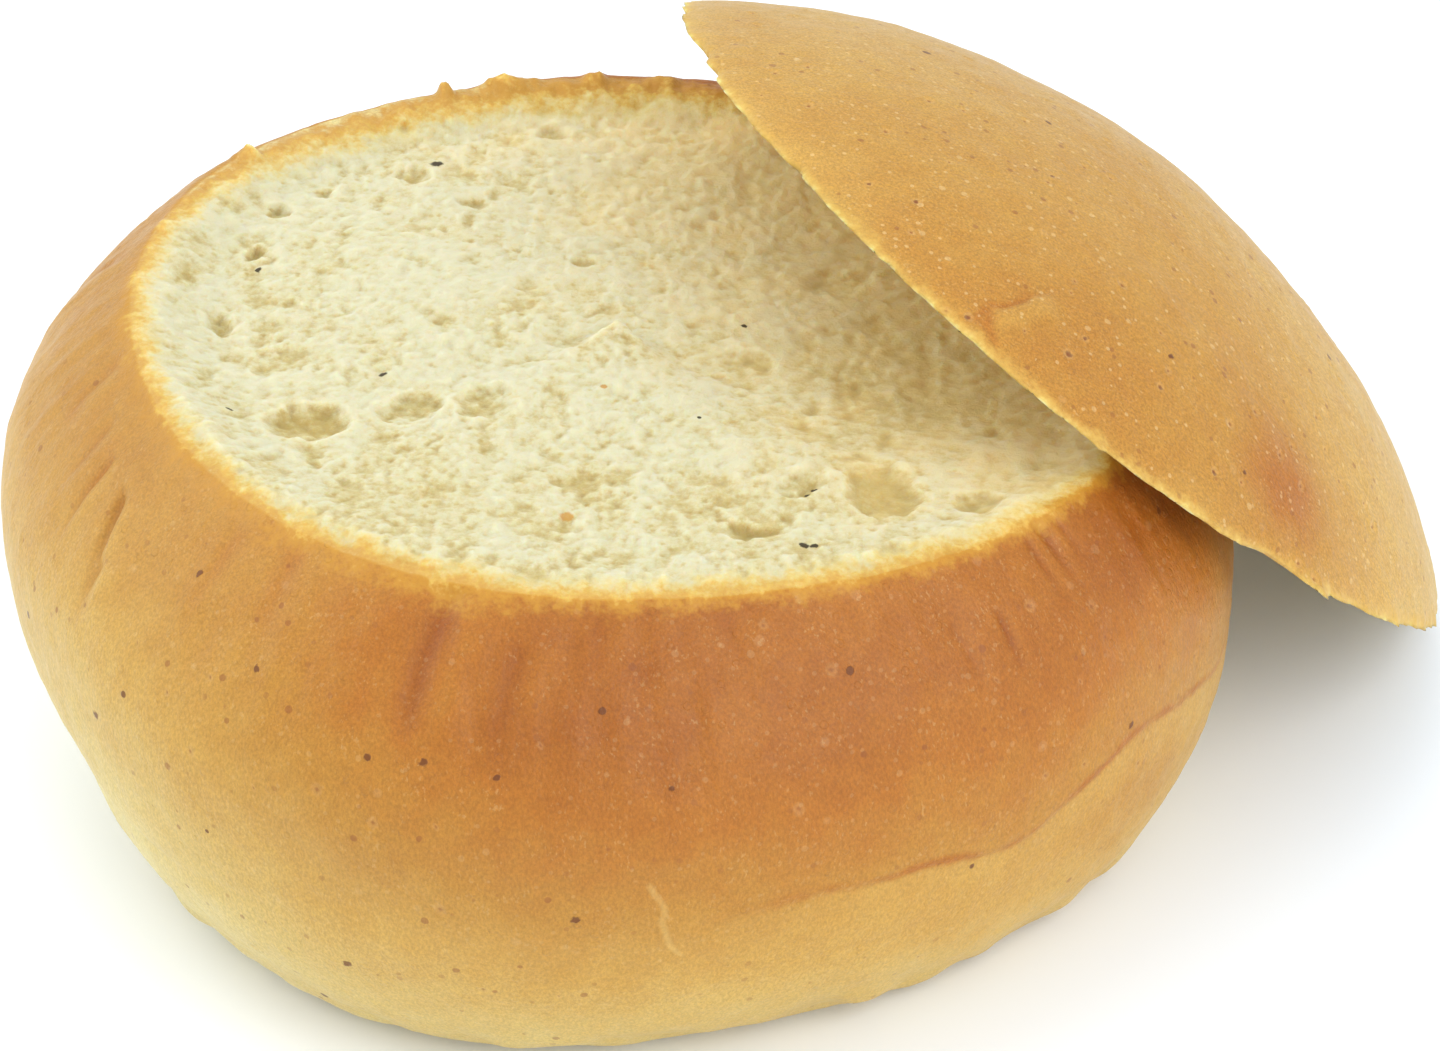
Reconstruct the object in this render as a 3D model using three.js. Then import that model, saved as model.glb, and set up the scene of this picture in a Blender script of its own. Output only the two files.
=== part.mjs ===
// A round soft bread roll, cut across near its top: the hollowed base and the sliced-off lid that leans on it.
// Millimetres, +Z up, origin at the middle of the base's flat underside.
import * as THREE from "three";

// Whole roll, before it is cut.
const BODY_RADIUS = 65;
const WIDEST_HEIGHT = 31;
const WIDEST_LEAN = [-5.0, -1.1];
const TOP_HEIGHT = 69.6;
const UNDERSIDE_RADIUS = 49.3;
const LOWER_ROUNDNESS = 2.2;
const CROWN_ROUNDNESS = { height: 1.92, radius: 1.9 };

// Plan outline: how far the roll departs from a circle, as waves round its edge.
const PLAN_WAVES = [
  { turns: 1, cosine: 0.0166, sine: 0.0078 },
  { turns: 2, cosine: -0.002, sine: 0.0106 },
  { turns: 3, cosine: 0.0078, sine: -0.0029 },
  { turns: 4, cosine: -0.0022, sine: -0.013 },
];

// The knife cut is a plane that drops towards +X and a little towards +Y.
const CUT_HEIGHT = 52.7;
const CUT_SLOPE = [-0.088, -0.037];

// Crumb of the base: a shallow hollow with torn lumps.
const CRUMB_DEPTH = 3.2;
const CRUMB_LUMP = 0.7;

// Lid: its crown stands a little taller than the roll did, and its underside is scooped out.
const LID_SPREAD = 1.009;
const LID_RISE = 1.1;
const LID_TILT = 43;
const LID_TURN = 19.9;
const LID_CENTRE = [49.3, 23.6, 38.0];
const SCOOP_DEPTH = 8.5;
const SCOOP_RADIUS = 44.5;
const SCOOP_CENTRE = [-4, -4.5];

// Mesh density.
const BASE_STEPS = 96;
const BASE_SKIN_ROWS = 24;
const BASE_CRUMB_ROWS = 14;
const LID_STEPS = 84;
const LID_SKIN_ROWS = 14;
const LID_CRUMB_ROWS = 14;

const QUARTER = Math.PI / 2;

// Width of the roll at its widest, in the direction given.
function planRadius(turn) {
  const swell = PLAN_WAVES.reduce(
    (sum, wave) => sum + wave.cosine * Math.cos(wave.turns * turn) + wave.sine * Math.sin(wave.turns * turn),
    0,
  );
  return BODY_RADIUS * (1 + swell);
}

// A point on the crust. climb runs from -QUARTER at the underside, through 0 at the widest, to QUARTER at the top.
function crustPoint(turn, climb) {
  const widest = WIDEST_HEIGHT + WIDEST_LEAN[0] * Math.cos(turn) + WIDEST_LEAN[1] * Math.sin(turn);
  const across = Math.max(Math.cos(climb), 0);
  const along = Math.abs(Math.sin(climb));
  let reach = across ** (2 / CROWN_ROUNDNESS.radius);
  let height = widest + (TOP_HEIGHT - widest) * along ** (2 / CROWN_ROUNDNESS.height);
  if (climb < 0) {
    const foot = UNDERSIDE_RADIUS / BODY_RADIUS;
    reach = foot + (1 - foot) * across ** (2 / LOWER_ROUNDNESS);
    height = widest * (1 - along ** (2 / LOWER_ROUNDNESS));
  }
  const radius = planRadius(turn) * reach;
  return new THREE.Vector3(radius * Math.cos(turn), radius * Math.sin(turn), height);
}

function cutHeight(x, y) {
  return CUT_HEIGHT + CUT_SLOPE[0] * x + CUT_SLOPE[1] * y;
}

// Where the crust meets the cut, found by halving the climb between the widest point and the top.
function cutClimb(turn) {
  let low = 0;
  let high = QUARTER;
  for (let i = 0; i < 40; i += 1) {
    const middle = (low + high) / 2;
    const point = crustPoint(turn, middle);
    if (point.z < cutHeight(point.x, point.y)) {
      low = middle;
    } else {
      high = middle;
    }
  }
  return (low + high) / 2;
}

function rimPoints(steps) {
  return Array.from({ length: steps }, (_, i) => {
    const turn = (2 * Math.PI * i) / steps;
    return crustPoint(turn, cutClimb(turn));
  });
}

function middleOf(points) {
  const sum = points.reduce((total, point) => total.add(point), new THREE.Vector3());
  return sum.divideScalar(points.length);
}

// Closes rings of points into one skin, from a pole point through each ring to a second pole.
function ringSolid(firstPole, rings, lastPole) {
  const steps = rings[0].length;
  const points = [firstPole, ...rings.flat(), lastPole];
  const faces = [];
  const at = (ring, step) => 1 + ring * steps + (step % steps);
  for (let step = 0; step < steps; step += 1) {
    faces.push(0, at(0, step + 1), at(0, step));
    for (let ring = 0; ring < rings.length - 1; ring += 1) {
      faces.push(at(ring, step), at(ring, step + 1), at(ring + 1, step + 1));
      faces.push(at(ring, step), at(ring + 1, step + 1), at(ring + 1, step));
    }
    faces.push(at(rings.length - 1, step), at(rings.length - 1, step + 1), points.length - 1);
  }
  const geometry = new THREE.BufferGeometry().setFromPoints(points);
  geometry.setIndex(faces);
  geometry.computeVertexNormals();
  return geometry;
}

// Rings that climb the crust between two heights.
function crustRings(steps, rows, climbFrom, climbTo) {
  return Array.from({ length: rows + 1 }, (_, row) =>
    Array.from({ length: steps }, (__, step) => {
      const turn = (2 * Math.PI * step) / steps;
      return crustPoint(turn, THREE.MathUtils.lerp(climbFrom(turn), climbTo(turn), row / rows));
    }),
  );
}

// Rings that close in from a rim to its middle, each point moved by shape(point, share of the way out).
function innerRings(rim, middle, rows, shape) {
  return Array.from({ length: rows - 1 }, (_, row) => {
    const share = 1 - (row + 1) / rows;
    return rim.map((point) => shape(middle.clone().lerp(point, share), share));
  });
}

// The torn crumb of the base: low in the middle, level with the crust at the rim.
function sinkCrumb(point, share) {
  const lumps = Math.sin(0.16 * point.x + 0.6) * Math.cos(0.21 * point.y) + 0.5 * Math.sin(0.3 * (point.x - point.y));
  const fade = 1 - share ** 10;
  return point.setZ(cutHeight(point.x, point.y) - fade * (CRUMB_DEPTH + CRUMB_LUMP * lumps));
}

// The scooped crumb of the lid, in the lid's own frame with the cut at height 0.
function scoopCrumb(point) {
  const off = Math.hypot(point.x - SCOOP_CENTRE[0], point.y - SCOOP_CENTRE[1]) / SCOOP_RADIUS;
  return point.setZ(SCOOP_DEPTH * Math.max(0, 1 - off * off) ** 0.8);
}

// The lid's own frame: the middle of the cut, with Z along the cut's normal.
function cutFrame(middle) {
  const normal = new THREE.Vector3(-CUT_SLOPE[0], -CUT_SLOPE[1], 1).normalize();
  const across = new THREE.Vector3(1, 0, CUT_SLOPE[0]).normalize();
  const along = new THREE.Vector3().crossVectors(normal, across);
  return new THREE.Matrix4().makeBasis(across, along, normal).setPosition(middle);
}

function lidPose() {
  const turn = new THREE.Matrix4().makeRotationZ(THREE.MathUtils.degToRad(LID_TURN));
  const tilt = new THREE.Matrix4().makeRotationY(THREE.MathUtils.degToRad(LID_TILT));
  return new THREE.Matrix4().makeTranslation(...LID_CENTRE).multiply(turn).multiply(tilt);
}

function baseGeometry() {
  const skin = crustRings(BASE_STEPS, BASE_SKIN_ROWS, () => -QUARTER, cutClimb);
  const rim = skin[BASE_SKIN_ROWS];
  const middle = middleOf(rim);
  const crumb = innerRings(rim, middle, BASE_CRUMB_ROWS, sinkCrumb);
  return ringSolid(new THREE.Vector3(0, 0, 0), [...skin, ...crumb], sinkCrumb(middle.clone(), 0));
}

function lidGeometry() {
  const middle = middleOf(rimPoints(LID_STEPS));
  const toOwnFrame = new THREE.Matrix4()
    .makeScale(LID_SPREAD, LID_SPREAD, LID_RISE)
    .multiply(cutFrame(middle).invert());
  const skin = crustRings(LID_STEPS, LID_SKIN_ROWS, () => QUARTER, cutClimb)
    .slice(1)
    .map((ring) => ring.map((point) => point.applyMatrix4(toOwnFrame)));
  const rim = skin[skin.length - 1];
  const crumb = innerRings(rim, new THREE.Vector3(), LID_CRUMB_ROWS, scoopCrumb);
  const crown = crustPoint(0, QUARTER).applyMatrix4(toOwnFrame);
  const below = scoopCrumb(new THREE.Vector3());
  // The rings run from the crown down, so the two poles change places to keep the faces outward.
  return ringSolid(below, [...skin, ...crumb].reverse(), crown).applyMatrix4(lidPose());
}

function bakedBread(colour) {
  return new THREE.MeshStandardMaterial({ color: colour, roughness: 0.7, metalness: 0 });
}

function makeBase() {
  const base = new THREE.Mesh(baseGeometry(), bakedBread(0xc98f4e));
  base.name = "roll_base";
  return base;
}

function makeLid() {
  const lid = new THREE.Mesh(lidGeometry(), bakedBread(0xcf9a5c));
  lid.name = "roll_lid";
  return lid;
}

const roll = new THREE.Group();
roll.name = "bread_roll";
roll.add(makeBase(), makeLid());

export default roll;
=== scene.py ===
"""A round soft bread roll, cut across near its top, with its lid leaning on the cut base."""

import itertools
import math

import bpy
import numpy as np
from mathutils import Matrix, Vector


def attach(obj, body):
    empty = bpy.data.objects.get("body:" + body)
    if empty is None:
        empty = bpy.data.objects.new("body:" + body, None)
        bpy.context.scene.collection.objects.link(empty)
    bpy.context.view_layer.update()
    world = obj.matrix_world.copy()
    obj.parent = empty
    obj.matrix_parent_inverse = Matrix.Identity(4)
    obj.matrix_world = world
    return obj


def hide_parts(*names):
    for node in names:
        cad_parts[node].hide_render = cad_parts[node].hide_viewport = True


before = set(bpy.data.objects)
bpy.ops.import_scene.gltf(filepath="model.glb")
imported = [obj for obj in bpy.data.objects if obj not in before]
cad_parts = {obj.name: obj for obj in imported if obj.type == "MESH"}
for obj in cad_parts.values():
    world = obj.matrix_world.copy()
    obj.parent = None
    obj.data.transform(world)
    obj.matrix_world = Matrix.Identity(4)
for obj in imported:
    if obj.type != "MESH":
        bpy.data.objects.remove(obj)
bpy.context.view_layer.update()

MM = 0.001
QUARTER = math.pi / 2

# Shape of the roll in millimetres, the same numbers as the CAD part.
BODY_RADIUS = 65.0
WIDEST_HEIGHT = 31.0
WIDEST_LEAN = (-5.0, -1.1)
TOP_HEIGHT = 69.6
UNDERSIDE_RADIUS = 49.3
LOWER_ROUNDNESS = 2.2
CROWN_ROUNDNESS_HEIGHT = 1.92
CROWN_ROUNDNESS_RADIUS = 1.9
PLAN_WAVES = (
    (1, 0.0166, 0.0078), (2, -0.002, 0.0106),
    (3, 0.0078, -0.0029), (4, -0.0022, -0.013),
)
CUT_HEIGHT = 52.7
CUT_SLOPE = (-0.088, -0.037)
SEAM_HEIGHT = 25.2
LID_SPREAD = 1.009
LID_RISE = 1.1
LID_TILT = math.radians(43)
LID_TURN = math.radians(19.9)
LID_CENTRE = np.array([49.3, 23.6, 38.0])
SCOOP_DEPTH = 8.5
SCOOP_RADIUS = 44.5
SCOOP_CENTRE = (-4.0, -4.5)

# Mesh density: cells across the crumb, and rows down the crust.
BASE_CELLS = 300
BASE_ROWS = 150
LID_CELLS = 260
# Pitch and half side of the raster of crumb depths, and how far its cells are stretched along Y.
RASTER_PITCH = 0.2
RASTER_HALF = 60.0
CELL_STRETCH = 1.25
# Windows of the pieces' maps: left, bottom, width and height.
BASE_CRUMB_WINDOW = (0.0, 0.0, 0.42, 0.42)
UNDERSIDE_WINDOW = (0.43, 0.0, 0.42, 0.42)
UNDERSIDE_SPAN = 120.0
LID_SKIN_WINDOW = (0.0, 0.0, 0.7, 0.7)
LID_CRUMB_WINDOW = (0.705, 0.0, 0.29, 0.29)


# ---- numbers and noise


def smooth(low, high, x):
    """0 below low, 1 above high, and a smooth rise between."""
    t = np.clip((np.asarray(x, float) - low) / (high - low), 0, 1)
    return t * t * (3 - 2 * t)


def hump(x, half):
    """1 where x is 0, falling off smoothly over half on each side."""
    return np.exp(-((x / half) ** 2))


def lattice(ix, iy, iz, seed):
    """A repeatable value from -1 to 1 for each whole-number point."""
    n = (ix * 73856093) ^ (iy * 19349663) ^ (iz * 83492791) ^ (seed * 40503)
    n = (n ^ (n >> 13)) * 1274126177
    n = (n ^ (n >> 16)) & 0xFFFFF
    return n / 524287.5 - 1


def noise(points, size, seed):
    """Smooth noise from -1 to 1, with features about size across."""
    p = np.asarray(points, float) / size
    cell = np.floor(p).astype(np.int64)
    f = p - cell
    f = f * f * f * (f * (f * 6 - 15) + 10)
    x, y, z = np.moveaxis(cell, -1, 0)
    u, v, w = np.moveaxis(f, -1, 0)
    total = 0
    for dx, dy, dz in itertools.product((0, 1), repeat=3):
        weight = np.abs(1 - dx - u) * np.abs(1 - dy - v) * np.abs(1 - dz - w)
        total = total + weight * lattice(x + dx, y + dy, z + dz, seed)
    return total


def rough(points, size, seed, octaves=4, fall=0.5):
    """Noise at several sizes, each half the one before."""
    total = 0
    weight = 1.0
    for i in range(octaves):
        total = total + weight * noise(points, size / 2**i, seed + 17 * i)
        weight *= fall
    return total


def flat_points(x, y):
    return np.stack([x, y, np.zeros_like(x)], -1)


def blurred(image, radius):
    """image through a Gaussian of that radius, in cells."""
    rows = np.fft.fftfreq(image.shape[0])[:, None]
    cols = np.fft.fftfreq(image.shape[1])[None, :]
    kernel = np.exp(-2 * (math.pi * radius) ** 2 * (rows**2 + cols**2))
    return np.real(np.fft.ifft2(np.fft.fft2(image) * kernel))


# ---- the roll's form


def plan_radius(turn):
    swell = sum(c * np.cos(n * turn) + s * np.sin(n * turn) for n, c, s in PLAN_WAVES)
    return BODY_RADIUS * (1 + swell)


def crust_point(turn, climb):
    """Points on the smooth crust. climb runs from -QUARTER at the underside to QUARTER at the top."""
    widest = WIDEST_HEIGHT + WIDEST_LEAN[0] * np.cos(turn) + WIDEST_LEAN[1] * np.sin(turn)
    across = np.maximum(np.cos(climb), 0)
    along = np.abs(np.sin(climb))
    foot = UNDERSIDE_RADIUS / BODY_RADIUS
    upper = across ** (2 / CROWN_ROUNDNESS_RADIUS)
    lower = foot + (1 - foot) * across ** (2 / LOWER_ROUNDNESS)
    high = widest + (TOP_HEIGHT - widest) * along ** (2 / CROWN_ROUNDNESS_HEIGHT)
    low = widest * (1 - along ** (2 / LOWER_ROUNDNESS))
    reach = np.where(climb < 0, lower, upper)
    height = np.where(climb < 0, low, high)
    radius = plan_radius(turn) * reach
    return np.stack([radius * np.cos(turn), radius * np.sin(turn), height], -1)


def cut_height(x, y):
    return CUT_HEIGHT + CUT_SLOPE[0] * x + CUT_SLOPE[1] * y


def cut_climb(turn):
    """Where the crust meets the cut, by halving."""
    low = np.zeros_like(turn)
    high = np.full_like(turn, QUARTER)
    for _ in range(40):
        middle = (low + high) / 2
        p = crust_point(turn, middle)
        below = p[..., 2] < cut_height(p[..., 0], p[..., 1])
        low = np.where(below, middle, low)
        high = np.where(below, high, middle)
    return (low + high) / 2


def rim_middle():
    turn = np.arange(96) * 2 * math.pi / 96
    return crust_point(turn, cut_climb(turn)).mean(0)


def cut_frame():
    """Rows are the cut's own X, Y and normal."""
    normal = np.array([-CUT_SLOPE[0], -CUT_SLOPE[1], 1.0])
    across = np.array([1.0, 0.0, CUT_SLOPE[0]])
    normal /= np.linalg.norm(normal)
    across /= np.linalg.norm(across)
    return np.stack([across, np.cross(normal, across), normal])


def to_lid_frame(points):
    return (points - rim_middle()) @ cut_frame().T * [LID_SPREAD, LID_SPREAD, LID_RISE]


def place_lid(points):
    c, s = math.cos(LID_TILT), math.sin(LID_TILT)
    tilt = np.array([[c, 0, s], [0, 1, 0], [-s, 0, c]])
    c, s = math.cos(LID_TURN), math.sin(LID_TURN)
    turn = np.array([[c, -s, 0], [s, c, 0], [0, 0, 1]])
    return points @ (turn @ tilt).T + LID_CENTRE


# ---- grids and meshes


def disc_grid(cells):
    """An even grid of squares bent onto a disc: share of the way out, direction, faces and edge loop."""
    line = np.linspace(-1, 1, cells + 1)
    a, b = np.meshgrid(line, line, indexing="ij")
    wide = np.abs(a) > np.abs(b)
    safe_a = np.where(wide, a, 1)
    safe_b = np.where(wide | (b == 0), 1, b)
    reach = np.where(wide, a, b)
    turn = np.where(wide, math.pi / 4 * (b / safe_a), QUARTER - math.pi / 4 * (a / safe_b))
    turn = np.where(reach < 0, turn + math.pi, turn) % (2 * math.pi)
    index = np.arange((cells + 1) ** 2).reshape(cells + 1, cells + 1)
    quads = np.stack([index[:-1, :-1], index[1:, :-1], index[1:, 1:], index[:-1, 1:]], -1)
    edge = np.concatenate([index[0], index[-1], index[1:-1, 0], index[1:-1, -1]])
    edge = edge[np.argsort(turn.ravel()[edge])]
    chart = np.stack([(a + 1) / 2, (b + 1) / 2], -1)
    return np.abs(reach), turn, quads.reshape(-1, 4), edge, chart.reshape(-1, 2)


def slopes_to_normals(points, wrap):
    """Unit normals of a rows x columns grid of points."""
    if wrap:
        across = np.roll(points, -1, 1) - np.roll(points, 1, 1)
    else:
        across = np.gradient(points, axis=1)
    down = np.gradient(points, axis=0)
    normal = np.cross(across, down)
    return normal / np.maximum(np.linalg.norm(normal, axis=-1, keepdims=True), 1e-12)


class Surface:
    """Collects points, faces, their charts and per-point values, and makes one mesh of them."""

    def __init__(self):
        self.points, self.values, self.flats, self.faces = [], [], [], []
        self.count = 0

    def add_points(self, points, flat, **values):
        """flat gives each point's place on the unrolled surface, in millimetres."""
        start = self.count
        points = points.reshape(-1, 3)
        self.points.append(points)
        self.flats.append(flat_points(*np.asarray(flat, float).reshape(-1, 2).T))
        self.values.append({k: np.broadcast_to(v, points.shape[:1]).ravel() for k, v in values.items()})
        self.count += len(points)
        return start

    def add_faces(self, corners, chart):
        """corners is (faces, 3 or 4) point numbers, and chart (faces, 3 or 4, 2) map places."""
        self.faces.append((corners, chart))

    def build(self, name, material):
        points = np.concatenate(self.points) * MM
        sizes = np.concatenate([np.full(len(c), c.shape[1]) for c, _ in self.faces])
        corners = np.concatenate([c.ravel() for c, _ in self.faces])
        chart = np.concatenate([u.reshape(-1, 2) for _, u in self.faces])
        mesh = bpy.data.meshes.new(name)
        mesh.vertices.add(len(points))
        mesh.vertices.foreach_set("co", points.astype(np.float32).ravel())
        mesh.loops.add(len(corners))
        mesh.loops.foreach_set("vertex_index", corners.astype(np.int32))
        mesh.polygons.add(len(sizes))
        starts = np.concatenate([[0], np.cumsum(sizes)[:-1]])
        mesh.polygons.foreach_set("loop_start", starts.astype(np.int32))
        layer = mesh.uv_layers.new(name="OFBake")
        layer.uv.foreach_set("vector", chart.astype(np.float32).ravel())
        for key in self.values[0]:
            data = np.concatenate([v[key] for v in self.values]).astype(np.float32)
            mesh.attributes.new(key, "FLOAT", "POINT").data.foreach_set("value", data)
        flat = np.concatenate(self.flats).astype(np.float32)
        mesh.attributes.new("flat", "FLOAT_VECTOR", "POINT").data.foreach_set("vector", flat.ravel())
        mesh.update(calc_edges=True)
        mesh.validate()
        mesh.shade_smooth()
        mesh.materials.append(material)
        return add_object(name, mesh)


def add_object(name, data):
    made = bpy.data.objects.new(name, data)
    bpy.context.scene.collection.objects.link(made)
    return made


def in_window(chart, window):
    """Moves a chart from the unit square into a window of the map."""
    left, bottom, width, height = window
    return chart * [width, height] + [left, bottom]


# ---- crumb


class Relief:
    """A raster of depths over the cut, in millimetres, with the crumb's cells sunk into it."""

    def __init__(self, seed):
        self.rng = np.random.default_rng(seed)
        line = np.arange(-RASTER_HALF, RASTER_HALF, RASTER_PITCH)
        self.line = line
        self.x, self.y = np.meshgrid(line, line, indexing="ij")
        self.depth = np.zeros_like(self.x)

    def cells(self, spots, power):
        """The deepest cell at each place. A spot is (x, y, half length, half width, turn, depth)."""
        sunk = np.zeros_like(self.depth)
        for x, y, long, short, turn, depth in spots:
            low = np.searchsorted(self.line, [x - long, y - long])
            high = np.searchsorted(self.line, [x + long, y + long])
            window = (slice(low[0], high[0]), slice(low[1], high[1]))
            dx = self.x[window] - x
            dy = self.y[window] - y
            along = (dx * math.cos(turn) + dy * math.sin(turn)) / long
            aside = (dy * math.cos(turn) - dx * math.sin(turn)) / short
            inside = np.clip(1 - along**2 - aside**2, 0, 1)
            sunk[window] = np.maximum(sunk[window], depth * inside**power)
        return sunk

    def strewn(self, count, size, spread):
        """Cells 1 deep strewn over the cut, with half lengths about size."""
        reach = RASTER_HALF - 5
        xy = self.rng.uniform(-reach, reach, (count, 2))
        long = size * np.exp(self.rng.normal(0, spread, count))
        short = long * self.rng.uniform(0.55, 1, count)
        turn = self.rng.uniform(0, math.pi, count)
        return self.cells(np.column_stack([xy, long, short, turn, np.ones(count)]), 1.0)

    def sample(self, image, x, y):
        """image at places (x, y), between its cells."""
        u = np.clip((x - self.line[0]) / RASTER_PITCH, 0, len(self.line) - 2.001)
        v = np.clip((y - self.line[0]) / RASTER_PITCH, 0, len(self.line) - 2.001)
        i = u.astype(int)
        j = v.astype(int)
        u = u - i
        v = v - j
        return (
            image[i, j] * (1 - u) * (1 - v)
            + image[i + 1, j] * u * (1 - v)
            + image[i, j + 1] * (1 - u) * v
            + image[i + 1, j + 1] * u * v
        )


def crumb_relief(seed, big_holes, shelf=1.0):
    """Depth below the cut, and each place's cell tone, for one torn crumb face: the tone is painted shade
    in the cells, with random tone over it.
    """
    relief = Relief(seed)
    drawn_y = relief.y / CELL_STRETCH
    here = flat_points(relief.x, drawn_y)
    warp_x = relief.x + 0.85 * rough(here, 4.0, seed + 1, 4, 0.5)
    warp_y = 0.85 * rough(here, 4.0, seed + 2, 4, 0.5)

    # Wide shallow hollows, then closer cells, the fine sponge between them, and tufts that stand up.
    wide = relief.strewn(260, 1.7, 0.4)
    wide = smooth(0.0, 1.1, relief.sample(wide, warp_x, drawn_y + warp_y))
    wide = wide * (0.75 + 0.45 * noise(here, 12, seed + 5))
    holes = relief.sample(relief.cells(big_holes, 0.7), warp_x, relief.y + warp_y)
    close = relief.strewn(2400, 0.75, 0.35)
    close = smooth(0.0, 1.1, relief.sample(close, warp_x, drawn_y + warp_y))
    close = close * (0.7 + 0.5 * noise(here, 5, seed + 6))
    small = relief.strewn(9000, 0.45, 0.3)
    small = relief.sample(small, relief.x + 0.2 * noise(here, 0.8, seed + 9), drawn_y)
    tufts = relief.strewn(5200, 0.6, 0.35)
    tufts = relief.sample(tufts, warp_x, drawn_y + warp_y)
    grain = rough(here, 0.9, seed + 8, 2)
    cloud = rough(here, 3.0, seed + 12, 3, 0.65)

    lumps = 0.4 * rough(here, 20, seed + 7, 3) + 0.14 * cloud
    cells = shelf * (0.26 * wide + 0.12 * close) + 0.75 * holes + 0.12 * small
    relief.depth = lumps + cells + 0.1 * grain - 0.13 * tufts
    fine = relief.depth - blurred(relief.depth, 0.9 / RASTER_PITCH)
    # Painted shade: the crumb is coloured darker in its cells and deepest spots and lighter on tufts and
    # cell edges, with random cloudy tone mixed in.
    hollow = 0.28 * wide + 0.17 * close + 0.36 * holes + 0.1 * small
    relief.hollow = hollow + 0.4 * fine + 0.19 * cloud + 0.1 * grain + 0.05 - 0.1 * tufts
    return relief


# ---- crust


def crust_wander(points, seed):
    """Broad unevenness of a hand-shaped, baked skin."""
    broad = 0.55 * rough(points, 30, seed, 2)
    return broad + 0.14 * rough(points, 7, seed + 5, 2) + 0.05 * rough(points, 2.2, seed + 9, 2)


def fine_pits(points, spots):
    """Burst blisters: a round dent with a raised edge. A spot is (x, y, z, size)."""
    flat = points.reshape(-1, 3)
    lift = np.zeros(len(flat))
    dark = np.zeros(len(flat))
    for x, y, z, size in spots:
        near = np.where(np.abs(flat - [x, y, z]).max(1) < 2.5 * size)[0]
        away = np.linalg.norm(flat[near] - [x, y, z], axis=1) / size
        edge = 0.12 * np.exp(-((away - 1.25) ** 2) / 0.12)
        lift[near] += size * (edge - 0.3 * np.exp(-(away**2) / 0.5))
        dark[near] = np.maximum(dark[near], np.exp(-(away**2) / 0.45))
    return lift.reshape(points.shape[:2]), dark.reshape(points.shape[:2])


def random_pits(points, rng, count, low, high):
    """Pits at random points, of sizes from low to high."""
    chosen = points.reshape(-1, 3)[rng.integers(0, points[..., 0].size, count)]
    return np.column_stack([chosen, rng.uniform(low, high, count)])


def pits_at(points, places):
    """Pits at given (x, y, size) over a dome."""
    flat = points.reshape(-1, 3)
    found = [flat[np.argmin(np.hypot(flat[:, 0] - x, flat[:, 1] - y))] for x, y, _ in places]
    return np.column_stack([found, [size for _, _, size in places]])


# ---- base


# Values of a point that carries no seam, blister or crack.
NO_MARKS = {"seam": 9.0, "seam_on": 0.0, "pit": 0.0, "crack": 9.0}
UNDERSIDE_MARKS = {"rim": -90.0, "hollow": 0.0, "toast": 0.42, **NO_MARKS}


# Larger holes in the crumb of the base:
# x and y from the middle of the cut, half length, half width, turn and depth.
BASE_HOLES = (
    (29, -8, 18, 15, 0.5, 1), (-31.4, -19.2, 4.4, 4, 0.3, 1.9),
    (-34.1, -7, 3.6, 3.2, 0.6, 0.8), (-41.6, 0.5, 3.3, 1.4, 1.9, 1),
    (-21.2, -16.2, 3.2, 2.8, 0.2, 1.2), (-13.1, -15.5, 4, 3.2, 1.2, 1.2),
    (26, -29, 5.6, 3.7, 1.4, 1.7), (12.4, -38.8, 3.2, 1.9, 0.2, 1.4),
    (35.2, -30, 3.2, 2.2, 1, 1.4), (17.5, -30, 3.4, 2, 0.4, 1),
    (-36, 23, 1.9, 1.3, 1, 1.3), (-38.4, 14.1, 1.8, 1.2, 1.2, 1.4),
    (-22.6, 32.5, 2.1, 1.7, 0.4, 1.1), (-31.5, 27.8, 1.9, 1.1, 1.5, 1),
    (-7.1, 43.8, 2, 1.4, 0.6, 1.1), (-15.7, 25.7, 1.9, 1.5, 0.5, 0.8),
    (-3.7, 14.2, 1.5, 1.2, 0.5, 0.9), (23, 13, 4.2, 3, 0.4, 1),
    (14, -4, 4, 1.8, -0.2, 0.8),
)

# Wrinkles that run down from the cut:
# direction in degrees, lean, top and foot below the rim, half width and depth.
BASE_WRINKLES = (
    (-105.4, -1.7, 0.3, 17, 1, 1.1), (-111.5, -1, 6, 19, 0.8, 0.25),
    (-97.5, -2, 5, 16, 0.8, 0.5), (-124, -1, 1, 12, 0.9, 0.5),
    (-131, -1.5, 3, 14, 0.6, 0.35), (-149.6, 4, 8, 17, 0.7, 1.9),
    (-145.6, -2, 14, 21, 0.6, 1.1), (-155.7, 1, 7, 17, 0.5, 0.9),
    (-160, 1, 5, 15, 0.5, 0.4), (-38.2, 0, 0.2, 8, 0.45, 0.9),
    (-40.8, 0.3, 1, 9, 0.35, 0.6), (-36, 0.6, 0.5, 6, 0.35, 0.5),
    (-48.4, 0.5, 7, 14, 0.32, 0.8), (-53, 1, 6, 13, 0.35, 0.3),
    (-63.5, 0.6, 1, 7, 0.5, 0.3), (-76, -0.4, 2, 9, 0.7, 0.25),
    (-90, -1, 1, 8, 0.6, 0.3), (-20, 0, 2, 9, 0.5, 0.45),
    (-170, 3, 2, 12, 0.8, 0.5), (165, -3, 3, 15, 0.8, 0.6),
    (141, 4, 2, 11, 0.6, 0.55), (118, -2, 3, 14, 0.8, 0.7),
    (96, 3, 2, 10, 0.6, 0.45), (71, -4, 3, 15, 0.8, 0.6),
    (44, 3, 4, 16, 0.7, 0.55), (12, -2, 5, 15, 0.8, 0.5),
)

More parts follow.
